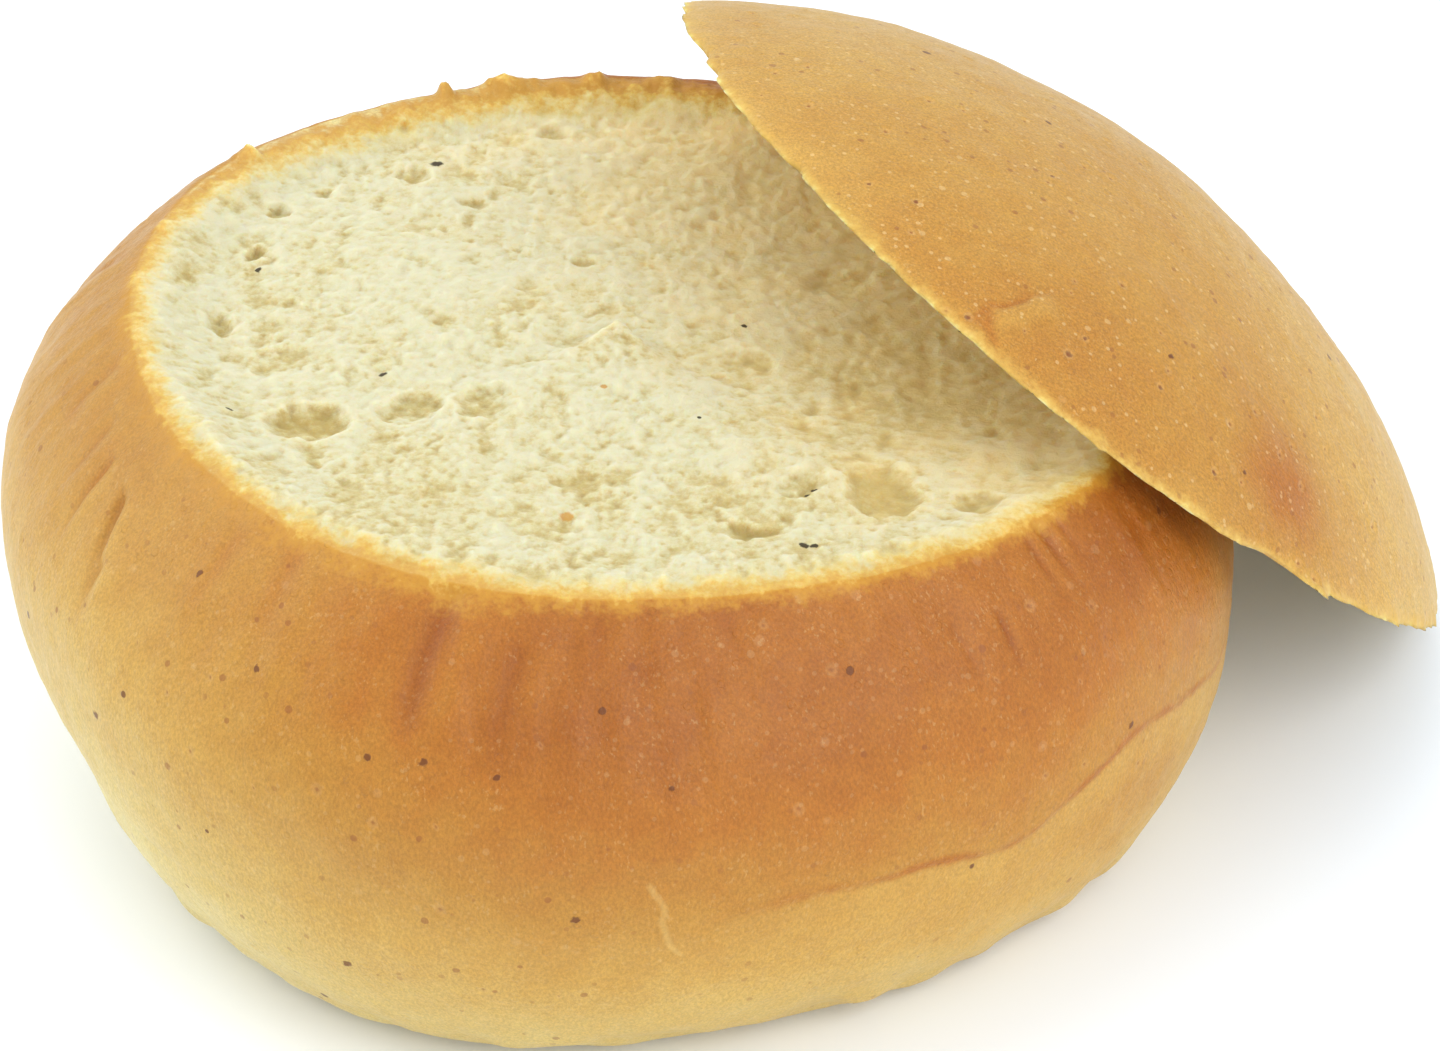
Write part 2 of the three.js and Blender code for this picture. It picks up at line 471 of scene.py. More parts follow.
# Bran in the crumb: x, y from the middle of the cut, and radius.
CRUMB_BRAN = (
    (-20, 35, 0.8), (-24, -10, 0.5), (-38, 11, 0.4),
    (-39, -18, 0.4), (18.5, -30.8, 0.35), (19.2, -29.7, 0.35),
    (17.9, -41, 0.55), (18.9, -41.2, 0.4), (13, 3, 0.35),
)
# Golden crumbs lying on it, given the same way.
GOLDEN_CRUMBS = ((-5.0, -37.0, 0.8), (-1.5, -13.0, 0.45))

# Bran in the crust: direction in degrees, height and radius.
CRUST_BRAN = (
    (-113.6, 17.6, 0.5), (-92.8, 26.9, 0.45), (-105.5, 43.2, 0.42), (-110.4, 43, 0.35),
    (-140.8, 35.1, 0.5), (-133.2, 51.9, 0.35), (-122.8, 47.6, 0.35), (-84, 40.1, 0.3),
    (-99.1, 42.2, 0.3), (-37.2, 28.8, 0.4), (-22.3, 43.2, 0.4), (-126, 30, 0.3),
    (172, 38, 0.4), (140, 22, 0.45), (101, 35, 0.4), (78, 19, 0.35),
    (40, 41, 0.4), (5, 27, 0.4),
)

# The unrolled crust lies this far from the crumb, so that their bran stays apart.
UNROLLED_RADIUS = 60.0
UNROLLED_LIFT = 300.0
UNROLLED_BRAN = [(math.radians(a) * UNROLLED_RADIUS, z + UNROLLED_LIFT, r) for a, z, r in CRUST_BRAN]

# The far rim's shreds: direction in degrees, half width in degrees and height.
RIM_SHREDS = (
    (139.5, 1.1, 1.3), (109.5, 0.9, 1.5), (102.5, 2.4, 1.2), (99, 1.4, 0.6),
    (91, 1.3, 0.9), (83, 1.8, 0.6), (30, 2, 0.7), (160, 1.5, 0.5),
)


def angle_between(turn, degrees):
    """turn minus the direction given, from -pi to pi."""
    return (turn - math.radians(degrees) + math.pi) % (2 * math.pi) - math.pi


def rim_tears(turn):
    """Shreds of crumb and crust that stand up along the far rim, in millimetres."""
    around = flat_points(55 * np.cos(turn), 55 * np.sin(turn))
    ragged = np.clip(0.85 + 0.4 * rough(around, 1.6, 41, 3), 0, 1.6)
    tall = 0
    for degrees, half, height in RIM_SHREDS:
        tall = tall + height * np.exp(-((angle_between(turn, degrees) / math.radians(half)) ** 4))
    return tall * ragged + 0.16 * rough(around, 2.4, 44, 3)


def rim_brown(turn):
    """How much further in the brown of the crust reaches along the far rim, in millimetres."""
    return 1.5 * smooth(-0.1, 0.6, np.sin(turn + 0.3))


def sink_of_crumb(turn, inward):
    """How far the crumb lies below the rim: nearly level in front, and a short steep wall at the back."""
    back = smooth(-0.15, 0.75, np.sin(turn))
    left = smooth(0.45, 0.95, -np.cos(turn)) * (1 - back)
    right = smooth(0.45, 0.95, np.cos(turn)) * (1 - back)
    front = np.clip(1 - back - left - right, 0, 1)
    return (
        back * (0.4 * smooth(0, 1.2, inward) + 2.2 * smooth(0.4, 8.0, inward))
        + left * 2.7 * smooth(0.2, 9.0, inward)
        + right * (0.2 * smooth(0, 1.0, inward) + 2.4 * smooth(0.2, 8.0, inward))
        + front * (0.1 * smooth(0, 1.2, inward) + 1.0 * smooth(1, 11, inward))
    )


def base_crumb(middle):
    share, turn, quads, edge, chart = disc_grid(BASE_CELLS)
    rim = crust_point(turn, cut_climb(turn))
    points = middle + (rim - middle) * share[..., None]
    inward = (1 - share) * np.linalg.norm((rim - middle)[..., :2], axis=-1)
    x = points[..., 0] - middle[0]
    y = points[..., 1] - middle[1]
    relief = crumb_relief(11, BASE_HOLES)
    depth = relief.sample(relief.depth, x, y)
    back = smooth(-0.1, 0.6, np.sin(turn + 0.3))
    fade = smooth(0.3, 3.5, inward * (1 + 1.2 * back) + 1.2 * noise(flat_points(x, y), 3.0, 71))
    fibres = rough(np.stack([turn * 95, inward / 3.0, 0 * turn], -1), 1.0, 31, 2)
    fibre_band = smooth(0.2, 1.5, inward) * (1 - smooth(5, 11, inward)) * (1 - back)
    sink = sink_of_crumb(turn, inward) + fade * (depth - 0.5) + 0.07 * fibre_band * fibres
    tears = rim_tears(turn) * (1 - smooth(0.6, 2.2, inward))
    plateau = 1.3 * hump(x + 12, 20) * hump(y - 4, 17) * smooth(2, 12, inward)
    roll_over = 0.3 * np.exp(-inward / 0.5)
    level = cut_height(points[..., 0], points[..., 1])
    points[..., 2] = level - sink + tears + plateau - roll_over
    hollow = relief.sample(relief.hollow, x, y) * smooth(0, 2.5, inward) + 0.16 * smooth(-14, -34, y)
    flat = np.stack([x, y], -1)
    browned = inward * (1 - 0.3 * back) - rim_brown(turn) + 1.1 * np.clip(tears, 0, None)
    return points, quads, edge, chart, browned, hollow, turn, flat


def seam_height(turn):
    """Height of the seam left where the roll swelled in the oven."""
    degrees = np.degrees(turn)
    dip = 2.0 * hump(degrees + 37, 6) - 2.2 * hump(degrees + 51, 7)
    wander = 0.5 * noise(flat_points(60 * np.cos(turn), 60 * np.sin(turn)), 6.0, 93)
    right_drop = 3.0 * smooth(-32, -18, degrees) * (degrees < 60)
    left_drop = 6.5 * smooth(0.2, 1.0, -np.cos(turn))
    return SEAM_HEIGHT + dip - right_drop - left_drop + wander


def base_crust(turn):
    """Rows of points down the outside, from just under the rim to the underside's edge."""
    top = cut_climb(turn)
    way = np.linspace(0, 1, BASE_ROWS + 1)[1:, None]
    climb = top + (-QUARTER - top) * way * (0.6 + 0.4 * way)
    around = np.broadcast_to(angle_between(turn, 0), climb.shape)
    smooth_skin = crust_point(around, climb)
    normal = -slopes_to_normals(smooth_skin, True)
    step = np.linalg.norm(np.diff(smooth_skin, axis=0, prepend=crust_point(turn, top)[None]), axis=-1)
    below = np.cumsum(step, axis=0)
    height = smooth_skin[..., 2]
    radius = np.linalg.norm(smooth_skin[..., :2], axis=-1)
    blank = np.zeros_like(height)

    lift = -crust_wander(smooth_skin, 201)
    toast = base_toast_and_shade(around, height, below)
    for degrees, lean, start, stop, half, deep in BASE_WRINKLES:
        wobble = 0.6 * noise(np.stack([below / 4, blank, blank + degrees], -1), 1.0, 77)
        line = angle_between(around, degrees) * radius - lean * (below - start) / 10 - wobble
        span = smooth(start - 1.0, start + 1.5, below) * (1 - smooth(stop - 6, stop + 2, below))
        dip = deep * (0.34 * hump(line, 1.2 * half) + 0.22 * hump(line, 3.4 * half))
        bank = hump(line - 3.0 * half, 2.0 * half)
        lift = lift + span * (0.2 * deep * bank - dip)
        # Painted shade in each wrinkle's groove, and a painted highlight on the bank beside it.
        toast = toast + min(deep, 0.9) * span * (0.13 * hump(line, 1.3 * half) - 0.06 * bank)

    # Fine puckers that fan down from the shoulder.
    pucker = rough(np.stack([around * 26, below / 14, blank], -1), 1.0, 88, 2)
    lift = lift + 0.14 * pucker * smooth(1, 5, below) * (1 - smooth(12, 24, below))

    # At the seam the skin above overhangs the skin below.
    off = height - seam_height(around)
    degrees = np.degrees(around)
    strong = (
        smooth(-84, -66, degrees) * (1 - smooth(-22, -12, degrees))
        + 0.5 * hump(degrees + 166, 11)
        + 0.7 * hump(degrees - 150, 22)
        + 0.6 * hump(degrees - 55, 20)
    )
    step = smooth(-0.6, 0.5, off)
    above = np.clip(off, 0, None)
    beneath = np.clip(-off, 0, None)
    over = 0.2 * np.exp(-above / 5.0) * step
    under = 0.14 * np.exp(-beneath / 5.0) * (1 - step)
    lift = lift + strong * (over - under)
    toast = toast - 0.1 * strong * smooth(0.3, -0.6, off) * smooth(-9, -1, off)

    # The left flank is drawn in around the seam, and creased there.
    flank = hump(angle_between(around, -166), 0.42)
    drawn_in = 4.3 * np.exp(-above / 3.2) * np.exp(-beneath / 7.0)
    lift = lift - flank * (drawn_in + 0.6 * hump(off, 0.7))
    lift = lift - 1.5 * hump(angle_between(around, -134), 0.3) * hump(height - 8, 7)

    # The foot is uneven where it meets the tray.
    lift = lift + 0.7 * noise(smooth_skin, 5.0, 211) * hump(height - 3.5, 3)
    spots = random_pits(smooth_skin, np.random.default_rng(203), 90, 0.3, 0.75)
    pits, dark = fine_pits(smooth_skin, spots)
    steady = smooth(0, 1.2, below) * smooth(0, 2.0, height)
    roll_over = 0.2 * np.exp(-below / 0.6)
    points = smooth_skin + normal * ((lift + pits) * steady - roll_over)[..., None]
    points[..., 2] = np.maximum(points[..., 2], 0)
    points[-1, :, 2] = 0
    tears = rim_tears(turn)[None] * np.exp(-below / 0.9)
    points[..., 2] += tears

    bend = 0.7 * noise(np.stack([height / 2.5, blank, blank], -1), 1.0, 97)
    long_crack = np.abs(angle_between(around, -85.3) * radius + 0.26 * (height - 25) + bend)
    long_crack = long_crack + 3 * (1 - smooth(18, 21, height) * (1 - smooth(30, 34, height)))
    short_crack = np.abs(angle_between(around, -68.2) * radius - 0.5 * bend) + 3 * smooth(1.8, 3.2, below)
    rim = 1.4 * np.clip(tears, 0, None) - rim_brown(around)
    marks = {
        "rim": rim - (0.62 + 0.3 * smooth(-1.9, -1.4, around)) * below,
        "toast": toast,
        "seam": off,
        "seam_on": np.clip(strong, 0, 1),
        "pit": dark,
        "crack": np.minimum(long_crack, short_crack),
    }
    flat = np.stack([around * UNROLLED_RADIUS, height + UNROLLED_LIFT], -1)
    return points, below, flat, marks


def base_toast_and_shade(turn, height, below):
    """How brown the crust is: pale at the foot and on the left, and brown on the shoulder, with painted
    shade where the lid overhangs the right shoulder.
    """
    toast = 0.1 + 0.75 * smooth(-6, 44, height)
    pale = 0.5 * smooth(1.57, 0.52, np.abs(angle_between(turn, -175)))
    toast = toast - pale * smooth(-8, 30, height) * (1 - 0.5 * smooth(36, 54, height))
    # Painted shadow of the lid on the right shoulder.
    shoulder_lid_shade = hump(angle_between(turn, -18), 0.35) * smooth(34, 44, height)
    low_right = hump(angle_between(turn, -34), 0.55) * smooth(30, 12, height)
    brow = hump(angle_between(turn, -98), 0.4) * smooth(36, 48, height)
    return toast + 0.08 * shoulder_lid_shade + 0.12 * low_right + 0.05 * brow - 0.05 * np.exp(-below / 1.5)


def crumb_lid_shade(flat, inward):
    """How beige the crumb is: painted shade of the lid, a warm tint that yellows it towards the lid and
    the back, behind a white front edge.
    """
    x, y = flat[..., 0], flat[..., 1]
    ragged = rough(flat_points(x, y), 6, 61, 4, 0.6)
    ledge = 1 - smooth(-4, -16, y) * smooth(36, 18, x) * (1 - smooth(5.5, 7.5, inward + 2.2 * ragged))
    return smooth(-10, 52, 0.85 * x + 0.5 * y + 5 * ragged) * ledge


def build_base(material):
    middle = rim_middle()
    surface = Surface()
    crumb, quads, edge, chart, inward, hollow, turn, flat = base_crumb(middle)
    ring_turn = turn.ravel()[edge]
    skin, below, skin_flat, marks = base_crust(ring_turn)

    # The crumb's toast value carries the painted shade of the lid.
    lid_shade_tint = crumb_lid_shade(flat, inward)
    values = {"rim": inward.ravel(), "hollow": hollow.ravel(), "toast": lid_shade_tint.ravel()}
    surface.add_points(crumb, flat, **values, **NO_MARKS)
    surface.add_faces(quads, in_window(chart[quads], BASE_CRUMB_WINDOW))

    values = {key: value.ravel() for key, value in marks.items()}
    start = surface.add_points(skin, skin_flat, hollow=0.0, **values)
    steps = len(edge)
    rows = skin.shape[0]
    number = np.concatenate([edge[None], start + np.arange(rows * steps).reshape(rows, steps)])
    after = np.roll(number, -1, 1)
    faces = np.stack([number[:-1], number[1:], after[1:], after[:-1]], -1)
    down = np.concatenate([np.zeros((1, steps)), below / below.max()])
    along = np.arange(steps) / steps
    half = steps // 2
    for side in (0, 1):
        cols = slice(side * half, (side + 1) * half)
        u0 = (along[cols] - side * 0.5) * 2
        u1 = u0 + 2.0 / steps
        u = np.stack(np.broadcast_arrays(u0, u0, u1, u1), -1)[None]
        v0, v1 = down[:-1, cols], down[1:, cols]
        v = 1 - np.stack([v0, v1, v1, v0], -1)
        uv = np.stack(np.broadcast_arrays(u, v), -1)
        window = (0.0, 0.43 + side * 0.285, 1.0, 0.28)
        surface.add_faces(faces[:, cols].reshape(-1, 4), in_window(uv, window).reshape(-1, 4, 2))

    def place(xy):
        return in_window(xy / UNDERSIDE_SPAN + 0.5, UNDERSIDE_WINDOW)

    # The flat underside, in rings that lose half their points as they close in.
    ring = number[-1]
    reach = 1.0
    outer = skin[-1, :, :2]
    for target in (0.93, 0.85, 0.72, 0.58, 0.44, 0.3, 0.17, 0.07):
        halve = len(ring) % 2 == 0 and len(ring) > 12
        kept = outer[:: 2 if halve else 1]
        inner = np.column_stack([kept * target, np.zeros(len(kept))])
        begin = surface.add_points(inner, inner[:, :2] - UNROLLED_LIFT, **UNDERSIDE_MARKS)
        fresh = begin + np.arange(len(kept))
        old_xy = outer * reach
        new_xy = inner[:, :2]
        if halve:
            a, b, c = ring[0::2], ring[1::2], np.roll(ring, -2)[0::2]
            pa, pb, pc = old_xy[0::2], old_xy[1::2], np.roll(old_xy, -2, 0)[0::2]
            d, e = fresh, np.roll(fresh, -1)
            pd, pe = new_xy, np.roll(new_xy, -1, 0)
            triangles = (((a, d, b), (pa, pd, pb)), ((b, d, e), (pb, pd, pe)), ((b, e, c), (pb, pe, pc)))
            for corners, spots in triangles:
                surface.add_faces(np.stack(corners, -1), place(np.stack(spots, 1)))
        else:
            c, e = np.roll(ring, -1), np.roll(fresh, -1)
            pc, pe = np.roll(old_xy, -1, 0), np.roll(new_xy, -1, 0)
            spots = np.stack([old_xy, new_xy, pe, pc], 1)
            surface.add_faces(np.stack([ring, fresh, e, c], -1), place(spots))
        ring, outer, reach = fresh, kept, target
    hub = surface.add_points(np.zeros((1, 3)), (-UNROLLED_LIFT, -UNROLLED_LIFT), **UNDERSIDE_MARKS)
    last_xy = outer * reach
    surface.add_faces(
        np.stack([ring, np.full(len(ring), hub), np.roll(ring, -1)], -1),
        place(np.stack([last_xy, np.zeros_like(last_xy), np.roll(last_xy, -1, 0)], 1)),
    )
    return surface.build("roll_base_bread", material)


# ---- lid


# Hollows in the crumb under the lid, given like those of the base.
LID_HOLES = (
    (12, -8, 5, 3, 0.4, 1.8), (-15, 14, 4.2, 2.6, 1.2, 1.6),
    (-20, -22, 5.6, 2.8, 0.1, 1.9), (22, 20, 4.4, 3, 0.7, 1.7),
    (30, -18, 3.6, 2.2, 0.2, 1.5), (2, 33, 3.8, 2, 0.9, 1.4),
)


# Notches and hanging crumbs of the lid's edge: direction in degrees, half width, reach outwards.
LID_EDGE = (
    (163, 3, -1.6), (170, 2, -1.2), (-166, 1.4, -0.9), (-140.5, 1, -0.5),
    (-133, 1.2, -0.5), (-114.5, 0.7, 1), (-148, 0.8, 0.6), (-96, 0.6, 0.4),
    (-86, 5.5, -2.2), (-76.5, 0.9, 1.5), (-74, 0.5, -0.3), (20, 2, -0.8),
    (75, 3, -0.7),
)

# Blisters at places on the lid: x, y and size.
LID_PITS = (
    (-36.3, -34.8, 0.65), (-26.2, -38.3, 0.75), (-38.8, -19.4, 0.6), (-42.7, -16.5, 0.5),
    (-21.9, -12.5, 0.55), (-15.4, -39.7, 0.6), (-24, -36, 0.5), (-8.4, -46.5, 0.6),
)
LID_BRAN = (
    (-25, 24, 0.35), (-17, 0, 0.4), (18, -19, 0.45),
    (-4, -45, 0.35), (-13.4, -35.5, 0.3),
)
# The placed blisters have burst, with dark mouths.
LID_MOUTHS = tuple((x, y, 0.5 * size) for x, y, size in LID_PITS)


def lid_rim_shift(turn):
    """Raggedness of the sawn edge, in millimetres across the cut."""
    around = flat_points(52 * np.cos(turn), 52 * np.sin(turn))
    wave = 0.4 * rough(around, 9, 301, 3) + 0.3 * rough(around, 1.9, 305, 3)
    for degrees, half, reach in LID_EDGE:
        wave = wave + reach * hump(angle_between(turn, degrees), math.radians(half))
    return wave


def lid_skin(share, turn):
    rim_climb = cut_climb(turn)
    climb = QUARTER - share * (QUARTER - rim_climb)
    smooth_skin = to_lid_frame(crust_point(turn, climb))
    normal = slopes_to_normals(smooth_skin, False)
    normal *= np.sign(normal[..., 2:3].mean())
    rim = to_lid_frame(crust_point(turn, rim_climb))
    inward = (1 - share) * 58
    lift = crust_wander(smooth_skin, 401) * 0.8
    spots = random_pits(smooth_skin, np.random.default_rng(403), 120, 0.35, 0.75)
    pits, dark = fine_pits(smooth_skin, np.concatenate([spots, pits_at(smooth_skin, LID_PITS)]))

    # A flake of skin that lifted near the edge, and the groove beside it.
    x, y = smooth_skin[..., 0], smooth_skin[..., 1]
    along = (x + 30.5) * 0.92 + (y + 34.3) * 0.38 + 0.8 * noise(flat_points(x, y), 1.8, 411)
    aside = (y + 34.3) * 0.92 - (x + 30.5) * 0.38 + 0.6 * noise(flat_points(x, y), 1.8, 412)
    flake = np.exp(-((along / 3.6) ** 4) - (aside / 1.5) ** 4)
    groove = hump(aside - 1.8, 0.5) * hump(along + 1, 4) + hump(along + 4.2, 0.5) * hump(aside, 2.2)
    lift = lift + 0.4 * flake - 0.3 * groove

    steady = smooth(0, 1.5, inward)
    points = smooth_skin + normal * ((lift + pits) * steady - 0.25 * np.exp(-inward / 0.8))[..., None]
    outward = rim[..., :2] / np.linalg.norm(rim[..., :2], axis=-1, keepdims=True)
    near_edge = np.exp(-inward / 1.2)
    points[..., :2] += outward * (lid_rim_shift(turn) * near_edge)[..., None]
    toast = 0.45 + 0.05 * noise(flat_points(x, y), 28, 421) - 0.16 * np.exp(-inward / 3.0)
    # The groove beside the flake is coloured darker, as a painted shadow along the flake.
    toast = toast + 0.26 * hump(x - 3, 6) * hump(y + 43, 6) - 0.1 * flake + 0.14 * groove
    # Darker towards the near side, and paler towards the far side, where the paler tone is a painted
    # sheen.
    near_side = hump(angle_between(turn, -115), 1.1) * share
    far_sheen = hump(angle_between(turn, 0), 1.0) * share
    toast = toast + 0.25 * near_side - 0.16 * far_sheen
    return points, inward, toast, dark, np.stack([x, y], -1)


def lid_crumb(share, turn, rim_points):
    x = rim_points[..., 0] * share
    y = rim_points[..., 1] * share
    inward = (1 - share) * 54
    off = np.hypot(x - SCOOP_CENTRE[0], y - SCOOP_CENTRE[1]) / SCOOP_RADIUS
    scoop = SCOOP_DEPTH * np.clip(1 - off**2, 0, 1) ** 0.8
    relief = crumb_relief(23, LID_HOLES, 0.45)
    depth = np.clip(relief.sample(relief.depth, x, y), 0.0, 3.4)
    fade = smooth(0.4, 4.0, inward)
    thin = smooth(3, 14, inward)
    z = scoop + fade * (0.15 + 0.35 * depth + 0.65 * depth * thin)
    z = z + rim_points[..., 2] * (1 - smooth(0, 2.0, inward))
    points = np.stack([x, y, z], -1)
    hollow = relief.sample(relief.hollow, x, y) * smooth(0, 2.5, inward)
    return points, inward, hollow


def build_lid(material):
    share, turn, quads, edge, chart = disc_grid(LID_CELLS)
    skin, inward, toast, dark, flat = lid_skin(share, turn)
    surface = Surface()
    values = {"rim": -inward.ravel(), "hollow": 0.0, "toast": toast.ravel(), **NO_MARKS}
    surface.add_points(place_lid(skin), flat, **{**values, "pit": dark.ravel()})
    surface.add_faces(quads, in_window(chart[quads], LID_SKIN_WINDOW))

    # The underside's grid shares its edge with the skin's.
    ring_turn = turn.ravel()[edge]
    wrap_turn = np.concatenate([ring_turn + whole * 2 * math.pi for whole in (-1, 0, 1)])
    wrapped = np.concatenate([skin.reshape(-1, 3)[edge]] * 3)
    rim = np.stack([np.interp(turn, wrap_turn, wrapped[:, k]) for k in range(3)], -1)
    crumb, inward_below, hollow = lid_crumb(share, turn, rim)
    values = {"rim": inward_below.ravel(), "hollow": hollow.ravel(), "toast": 0.3, **NO_MARKS}
    start = surface.add_points(place_lid(crumb), crumb[..., :2] + UNROLLED_LIFT, **values)
    remap = start + np.arange((LID_CELLS + 1) ** 2)
    remap[edge] = edge
    places = in_window(chart[quads], LID_CRUMB_WINDOW)
    surface.add_faces(remap[quads][:, ::-1], places[:, ::-1])
    return surface.build("roll_lid_bread", material)


# ---- materials


class Graph:
    """Short calls for building a material's nodes."""

    def __init__(self, name):
        self.material = bpy.data.materials.new(name)
        self.material.use_nodes = True
        self.tree = self.material.node_tree
        self.tree.nodes.clear()
        self.place = self.new("ShaderNodeTexCoord").outputs["Object"]

    def new(self, kind, inputs=None, **settings):
        """A node. Each of its inputs gets a number, a colour or another node's socket."""
        node = self.tree.nodes.new(kind)
        for key, value in settings.items():
            setattr(node, key, value)
        for key, value in (inputs or {}).items():
            self.feed(node.inputs[key], value)
        return node

    def feed(self, socket, value):
        if isinstance(value, bpy.types.NodeSocket):
            self.tree.links.new(value, socket)
        elif isinstance(value, tuple):
            alpha = (1.0,) * (len(socket.default_value) - len(value))
            socket.default_value = (*value, *alpha)
        else:
            socket.default_value = value

    def attribute(self, name, output="Fac"):
        return self.new("ShaderNodeAttribute", attribute_name=name).outputs[output]

    def math(self, operation, a, b=0.0, clamp=False):
        return self.new("ShaderNodeMath", {0: a, 1: b}, operation=operation, use_clamp=clamp).outputs[0]

    def times(self, a, b):
        return self.math("MULTIPLY", a, b)

    def plus(self, a, b):
        return self.math("ADD", a, b)

    def span(self, value, low, high, to_low=0.0, to_high=1.0):
        """value from low..high to to_low..to_high, smoothly and clamped."""
        inputs = dict(enumerate((value, low, high, to_low, to_high)))
        return self.new("ShaderNodeMapRange", inputs, interpolation_type="SMOOTHSTEP").outputs[0]

    def moved(self, place, stretch=(1, 1, 1)):
        """The object's own coordinates, moved and stretched."""
        inputs = {"Vector": self.place, "Location": place, "Scale": stretch}
        return self.new("ShaderNodeMapping", inputs).outputs[0]

    def noise(self, per_metre, detail=2.0, roughness=0.5, offset=0.0, stretch=(1, 1, 1)):
        place = self.moved((offset, offset * 0.7, -offset), stretch)
        inputs = {"Vector": place, "Scale": per_metre, "Detail": detail, "Roughness": roughness}
        return self.new("ShaderNodeTexNoise", inputs).outputs["Fac"]

    def wave(self, half, per_metre, detail, roughness, offset=0.0):
        """Noise from -half to half."""
        return self.span(self.noise(per_metre, detail, roughness, offset), 0.2, 0.8, -half, half)

    def cells(self, per_metre, offset=0.0):
        """Distance to the nearest cell point, and that cell's random number."""
        place = self.moved((offset, offset * 0.6, -offset))
        node = self.new("ShaderNodeTexVoronoi", {"Vector": place, "Scale": per_metre})
        pick = self.new("ShaderNodeSeparateColor", {0: node.outputs["Color"]})
        return node.outputs["Distance"], pick.outputs[0]

    def specks(self, per_metre, size, share, offset):
        """1 inside a speck of that size, in cell units, in that share of the cells."""
        away, pick = self.cells(per_metre, offset)
        uneven = self.span(self.noise(per_metre * 2.3, 2.0, offset=offset), 0, 1, -0.06, 0.06)
        inside = self.span(self.plus(away, uneven), size * 0.7, size, 1.0, 0.0)
        return self.times(inside, self.math("LESS_THAN", pick, share))

    def spots(self, places):
        """1 inside any of the spots (x, y, radius) on the unrolled surface."""
        flat = self.attribute("flat", "Vector")
        uneven = self.wave(0.16, 1700, 2.0, 0.5)
        total = 0.0
        for x, y, radius in places:
            away = self.new("ShaderNodeVectorMath", {0: flat, 1: (x, y, 0)}, operation="DISTANCE")
            distance = self.plus(away.outputs["Value"], uneven)
            total = self.math("MAXIMUM", total, self.span(distance, radius * 0.6, radius * 1.1, 1.0, 0.0))
        return total

    def ramp(self, value, stops):
        node = self.new("ShaderNodeValToRGB", {0: value})
        elements = node.color_ramp.elements
        while len(elements) < len(stops):
            elements.new(0.5)
        for element, (place, *colour) in zip(elements, stops):
            element.position = place
            element.color = (*srgb(*colour), 1)
        return node.outputs[0]

    def mix(self, share, a, b, blend="MIX"):
        inputs = {0: share, 6: a, 7: b}
        return self.new("ShaderNodeMix", inputs, data_type="RGBA", blend_type=blend).outputs[2]

    def bump(self, height, distance, **normal):
        inputs = {"Strength": 0.8, "Distance": distance, "Height": height, **normal}
        return self.new("ShaderNodeBump", inputs).outputs[0]

    def tint(self, colour, share, amount, paint):
        """colour with a paint over it, of that strength where share is 1."""
        return self.mix(self.times(share, amount), colour, srgb(*PAINTS[paint]))


def srgb(*screen):
    """A colour given as 0 to 255 screen values, in linear light."""
    shares = [value / 255 for value in screen]
    return tuple(c / 12.92 if c <= 0.04045 else ((c + 0.055) / 1.055) ** 2.4 for c in shares)


# Place and colour: the crust's run from pale to brown, and the crumb's from high to hollow, where the
# darker hollow colours are painted shade.
CRUST_STOPS = (
    (0, 216, 199, 136), (0.2, 204, 174, 101), (0.42, 192, 149, 71),
    (0.62, 177, 125, 48), (0.8, 167, 102, 31), (1, 142, 74, 17),
)
CRUMB_STOPS = (
    (0, 204, 197, 164), (0.3, 201, 190, 148),
    (0.6, 192, 174, 122), (1, 178, 153, 92),
)
# Colours laid over those, as 0 to 255 screen values.
PAINTS = {
    "seam": (164, 94, 8), "fleck": (232, 200, 140), "blister": (240, 206, 156),
    "tan speck": (134, 74, 34), "brown speck": (136, 80, 38), "pale speck": (238, 208, 152),
    "flour": (242, 214, 160), "bran": (102, 54, 22), "burst edge": (226, 182, 122),
    # The beige crumb tint among these is painted shade of the lid.
    "burst": (130, 68, 30), "crack": (226, 192, 118), "lid shade tint": (236, 202, 134),
    "golden crumb": (190, 136, 50), "wheat": (58, 46, 32),
}
# Across the edge of the cut, from 2 mm outside it to 4 mm inside it.
BASE_EDGE_STOPS = (
    (0, 182, 124, 42), (0.3, 192, 138, 46), (0.42, 204, 162, 70),
    (0.58, 211, 186, 114), (0.8, 212, 200, 148),
)
LID_EDGE_STOPS = (
    (0, 194, 148, 66), (0.25, 204, 162, 78), (0.4, 216, 182, 100),
    (0.58, 218, 196, 128), (0.8, 214, 203, 156),
)


